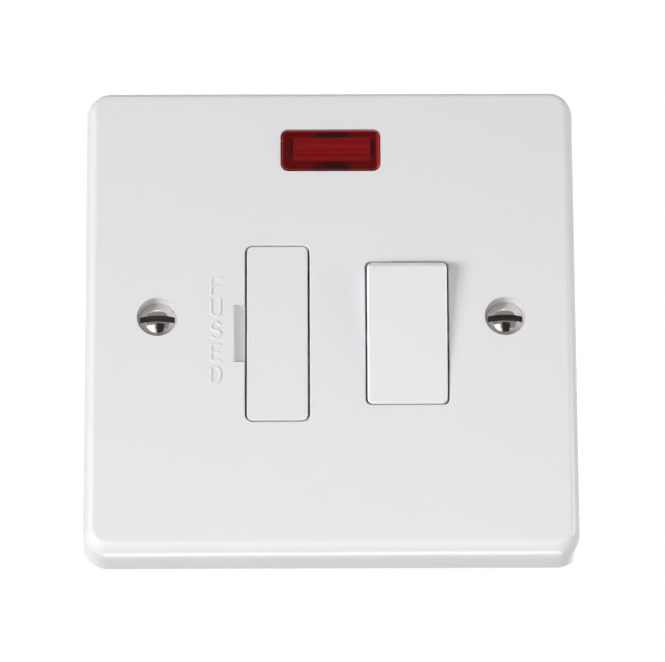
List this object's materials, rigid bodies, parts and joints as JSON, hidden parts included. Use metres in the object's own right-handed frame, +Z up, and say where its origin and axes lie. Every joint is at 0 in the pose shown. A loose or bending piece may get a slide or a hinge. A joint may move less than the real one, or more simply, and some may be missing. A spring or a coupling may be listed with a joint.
{
  "type": "fused spur unit",
  "caption": "Square white wall plate with a rocker switch, a pull-out fuse carrier, a red neon window and slotted fixing screws, on a rear housing of brass terminals.",
  "frame": {"origin": "on the wall surface, midway between the two fixing screws, which is the centre of the plate's rear rim", "axes": "+X to the right as seen from the room, +Y into the wall, +Z up; the plate's face looks along -Y"},
  "size_m": [0.086, 0.0325, 0.086],
  "materials": {
    "white_moulding": "white urea moulding, satin gloss",
    "grey_moulding": "pale grey moulding, fine matt texture",
    "red_lens": "clear red moulding, ribbed behind",
    "nickel_plate": "bright nickel plate",
    "zinc_steel": "zinc plated steel",
    "terminal_brass": "machined brass",
    "contact_copper": "rolled copper alloy strip",
    "contact_silver": "dull silver",
    "nylon": "natural nylon",
    "spring_steel": "drawn spring wire",
    "fuse_ceramic": "unglazed ceramic",
    "lamp_glass": "clear glass",
    "resistor_body": "lacquered tan",
    "lead_sleeving": "thin woven sleeving"
  },
  "bodies": {
    "body": {"front_plate": "white_moulding", "neon_lens": "red_lens", "rear_housing": "grey_moulding", "fixing_screws": "nickel_plate", "housing_screws": "zinc_steel", "terminal_screws": "zinc_steel", "supply_earth_terminal": "terminal_brass", "supply_live_terminal": "terminal_brass", "supply_neutral_terminal": "terminal_brass", "load_live_terminal": "terminal_brass", "load_earth_terminal": "terminal_brass", "load_neutral_terminal": "terminal_brass", "supply_live_strip": "contact_copper", "supply_neutral_strip": "contact_copper", "live_link": "contact_copper", "neutral_link": "contact_copper", "load_live_clip": "contact_copper", "earth_link": "contact_copper", "live_fixed_tip": "contact_silver", "neutral_fixed_tip": "contact_silver", "neon_lamp": "lamp_glass", "neon_resistor": "resistor_body", "neon_leads": "lead_sleeving"},
    "rocker": {"rocker": "white_moulding", "live_plunger_spring": "spring_steel", "neutral_plunger_spring": "spring_steel"},
    "live_plunger": {"live_plunger": "nylon"},
    "neutral_plunger": {"neutral_plunger": "nylon"},
    "live_contact": {"live_moving_contact": "contact_copper", "live_moving_tip": "contact_silver"},
    "neutral_contact": {"neutral_moving_contact": "contact_copper", "neutral_moving_tip": "contact_silver"},
    "carrier": {"fuse_carrier": "white_moulding", "fuse_barrel": "fuse_ceramic", "fuse_end_caps": "nickel_plate"}
  },
  "joints": [
    {"name": "rocker_tilt", "type": "hinge", "parent": "body", "child": "rocker", "pos_m": [0.01314, -0.0054, -0.003], "axis": [1, 0, 0], "range_deg": [-12, 0]},
    {"name": "live_contact_tilt", "type": "hinge", "parent": "body", "child": "live_contact", "pos_m": [0.00954, 0.00536, -0.003], "axis": [1, 0, 0], "range_deg": [0, 20]},
    {"name": "neutral_contact_tilt", "type": "hinge", "parent": "body", "child": "neutral_contact", "pos_m": [0.01674, 0.00536, -0.003], "axis": [1, 0, 0], "range_deg": [0, 20]},
    {"name": "live_plunger_slide", "type": "slide", "parent": "rocker", "child": "live_plunger", "axis": [0, -0.9945, -0.1045], "range_m": [0, 0.0008], "stiffness_N_per_m": 400, "springref_m": -0.003, "deforming": ["live_plunger_spring"]},
    {"name": "neutral_plunger_slide", "type": "slide", "parent": "rocker", "child": "neutral_plunger", "axis": [0, -0.9945, -0.1045], "range_m": [0, 0.0008], "stiffness_N_per_m": 400, "springref_m": -0.003, "deforming": ["neutral_plunger_spring"]},
    {"name": "carrier_pull", "type": "slide", "parent": "body", "child": "carrier", "axis": [0, -1, 0], "range_m": [0, 0.0105]}
  ],
  "couplings": [
    {"joint": "live_contact_tilt", "follows": "rocker_tilt", "ratio": -1.6667},
    {"joint": "neutral_contact_tilt", "follows": "rocker_tilt", "ratio": -1.6667}
  ]
}
